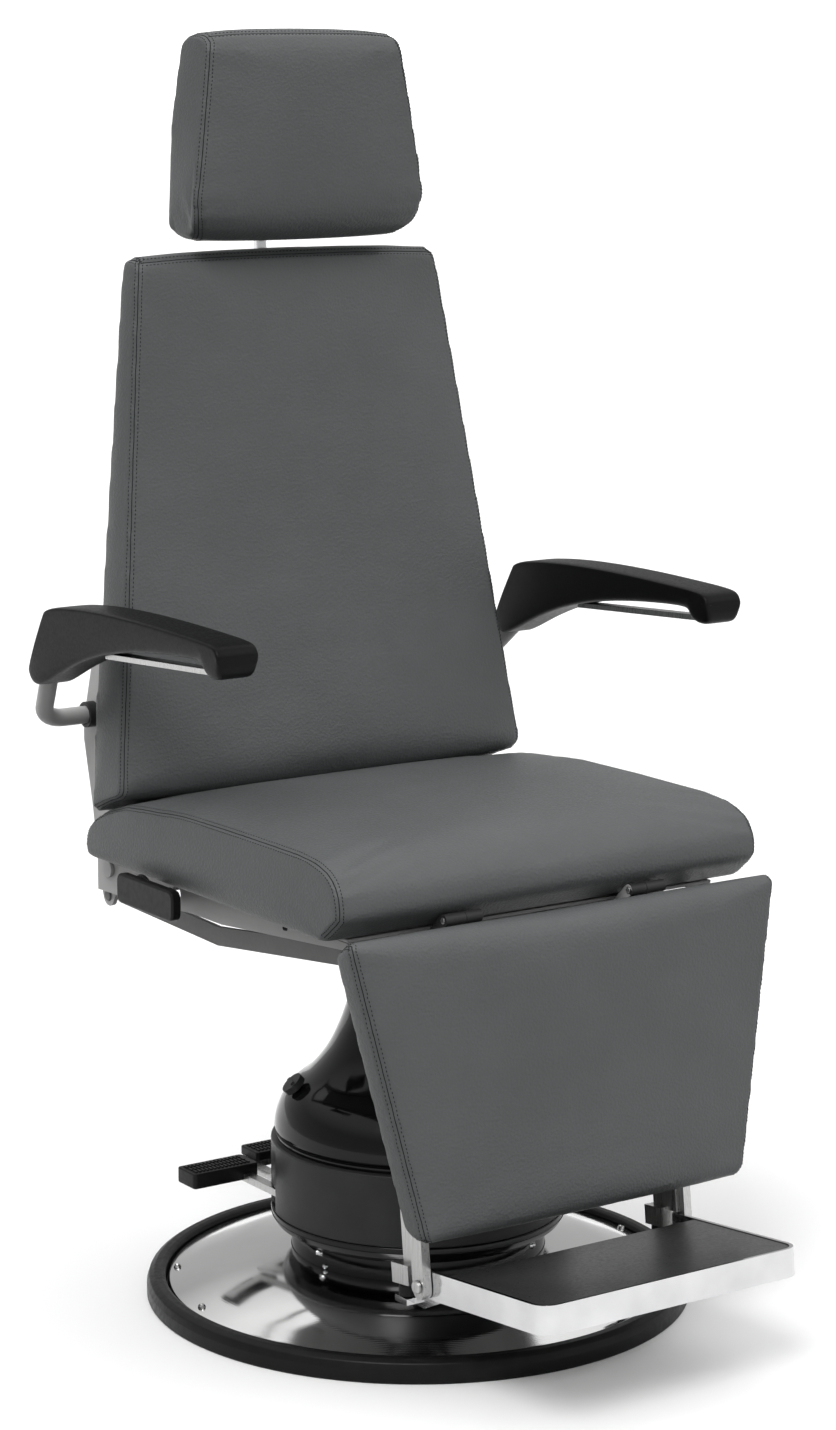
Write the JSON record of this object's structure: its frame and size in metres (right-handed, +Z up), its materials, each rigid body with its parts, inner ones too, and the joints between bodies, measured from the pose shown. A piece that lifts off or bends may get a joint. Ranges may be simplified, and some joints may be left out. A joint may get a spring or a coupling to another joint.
{
  "type": "ear, nose and throat examination chair",
  "caption": "Pedestal examination chair with padded seat, tapered back, sliding headrest, folding armrests and a legrest linked to the reclining back.",
  "frame": {"origin": "centre of the base plate's underside, on the column's axis at floor level", "axes": "+Z up along the column, -Y the way the sitter faces, +X towards the sitter's left hand"},
  "size_m": [0.664, 0.8066, 1.3719],
  "materials": {
    "cast_iron": "rough casting",
    "black_rubber": "satin",
    "stainless": "polished",
    "black_paint": "gloss",
    "black_satin": "satin",
    "black_gloss": "gloss",
    "steel": "brushed",
    "chrome": "polished",
    "grey_paint": "satin",
    "leatherette": "fine grain",
    "black_lining": "matt",
    "black_foam": "satin skin",
    "aluminium": "polished"
  },
  "bodies": {
    "base": {"base_plate": "cast_iron", "base_ring": "black_rubber", "base_cover": "stainless", "cover_screw_1": "steel", "cover_screw_2": "steel", "cover_screw_3": "steel", "cover_screw_4": "steel", "hub_collar": "black_paint", "drum_housing": "black_satin", "bell_cover": "black_gloss", "pump_cylinder": "steel", "pump_block": "cast_iron"},
    "ram": {"ram": "chrome", "swivel_bearing": "steel"},
    "seat": {"swivel_head": "cast_iron", "seat_subframe": "grey_paint", "seat_pan": "grey_paint", "seat_side_plate_left": "grey_paint", "seat_side_plate_right": "grey_paint", "seat_cushion": "leatherette", "leg_hinge_pin_left": "steel", "leg_hinge_pin_right": "steel", "back_hinge_pin_left": "steel", "back_hinge_pin_right": "steel", "gas_spring_cylinder": "black_paint"},
    "gas_rod": {"gas_spring_rod": "chrome"},
    "release": {"release_lever": "black_satin"},
    "backrest": {"back_frame": "grey_paint", "back_board": "black_lining", "link_shaft": "steel", "arm_bush_left": "black_satin", "arm_bush_right": "black_satin", "back_cushion": "leatherette", "head_post_guide": "black_satin"},
    "clamp": {"head_clamp_knob": "black_satin"},
    "head_carrier": {"head_post": "chrome", "head_tilt_block": "black_paint"},
    "headrest": {"head_board": "black_satin", "head_cushion": "leatherette"},
    "armrest_left": {"arm_tube_left": "grey_paint", "arm_pad_left": "black_foam"},
    "armrest_right": {"arm_tube_right": "grey_paint", "arm_pad_right": "black_foam"},
    "links": {"link_bar_left": "grey_paint", "link_bar_right": "grey_paint"},
    "legrest": {"leg_board": "black_lining", "leg_cushion": "leatherette", "leg_frame": "steel", "foot_pivot_bolt_left": "steel", "foot_pivot_bolt_right": "steel"},
    "footrest": {"foot_frame": "aluminium", "foot_plate": "steel", "foot_mat": "black_rubber", "foot_bumper_left": "black_rubber", "foot_bumper_right": "black_rubber"},
    "pedal_side": {"pedal_arm_side": "steel", "pedal_pad_side": "black_rubber"},
    "pedal_rear": {"pedal_arm_rear": "steel", "pedal_pad_rear": "black_rubber"},
    "lock_knob": {"swivel_lock_knob": "black_satin"}
  },
  "joints": [
    {"name": "lift", "type": "slide", "parent": "base", "child": "ram", "axis": [0, 0, 1], "range_m": [0, 0.2]},
    {"name": "swivel", "type": "hinge", "parent": "ram", "child": "seat", "pos_m": [0, 0, 0.41], "axis": [0, 0, 1], "continuous": true},
    {"name": "recline", "type": "hinge", "parent": "seat", "child": "backrest", "pos_m": [0, 0.264, 0.456], "axis": [-1, 0, 0], "range_deg": [0, 75]},
    {"name": "legrest_raise", "type": "hinge", "parent": "seat", "child": "legrest", "pos_m": [0, -0.249, 0.487], "axis": [-1, 0, 0], "range_deg": [0, 75]},
    {"name": "links_turn", "type": "hinge", "parent": "backrest", "child": "links", "pos_m": [0, 0.284, 0.42], "axis": [-1, 0, 0], "range_deg": [-75, 0]},
    {"name": "gas_rod_slide", "type": "slide", "parent": "seat", "child": "gas_rod", "axis": [0, 1, 0], "range_m": [-0.05, 0]},
    {"name": "headrest_height", "type": "slide", "parent": "backrest", "child": "head_carrier", "axis": [0, 0.0656, 0.9978], "range_m": [0, 0.1]},
    {"name": "headrest_tilt", "type": "hinge", "parent": "head_carrier", "child": "headrest", "pos_m": [0, 0.3145, 1.247], "axis": [-1, 0, 0], "range_deg": [-3, 20]},
    {"name": "clamp_turn", "type": "hinge", "parent": "backrest", "child": "clamp", "pos_m": [0, 0.3254, 1.05218], "axis": [0, 0.9978, -0.0656], "continuous": true},
    {"name": "armrest_left_fold", "type": "hinge", "parent": "backrest", "child": "armrest_left", "pos_m": [-0.31, 0.31, 0.6225], "axis": [-1, 0, 0], "range_deg": [0, 85]},
    {"name": "armrest_right_fold", "type": "hinge", "parent": "backrest", "child": "armrest_right", "pos_m": [0.31, 0.31, 0.6225], "axis": [-1, 0, 0], "range_deg": [0, 85]},
    {"name": "footrest_fold", "type": "hinge", "parent": "legrest", "child": "footrest", "pos_m": [0, -0.25494, 0.10922], "axis": [-1, 0, 0], "range_deg": [0, 18]},
    {"name": "release_pull", "type": "hinge", "parent": "seat", "child": "release", "pos_m": [-0.2295, 0.12, 0.455], "axis": [-1, 0, 0], "range_deg": [0, 15], "stiffness_Nm_per_rad": 1.5, "springref_deg": -17.19},
    {"name": "pedal_side_press", "type": "hinge", "parent": "base", "child": "pedal_side", "pos_m": [-0.1455, 0.03, 0.121], "axis": [-1, 0, 0], "range_deg": [0, 10], "stiffness_Nm_per_rad": 4, "springref_deg": -17.19},
    {"name": "pedal_rear_press", "type": "hinge", "parent": "base", "child": "pedal_rear", "pos_m": [-0.12, 0.03, 0.121], "axis": [-1, 0, 0], "range_deg": [0, 10], "stiffness_Nm_per_rad": 4, "springref_deg": -17.19},
    {"name": "lock_turn", "type": "hinge", "parent": "base", "child": "lock_knob", "pos_m": [-0.12722, 0.0463, 0.23796], "axis": [-0.6409, 0.2333, 0.7314], "range_deg": [0, 90]}
  ],
  "couplings": [
    {"joint": "legrest_raise", "follows": "recline", "ratio": 1},
    {"joint": "links_turn", "follows": "recline", "ratio": -1},
    {"joint": "gas_rod_slide", "follows": "recline", "m_per_rad": -0.037889}
  ]
}
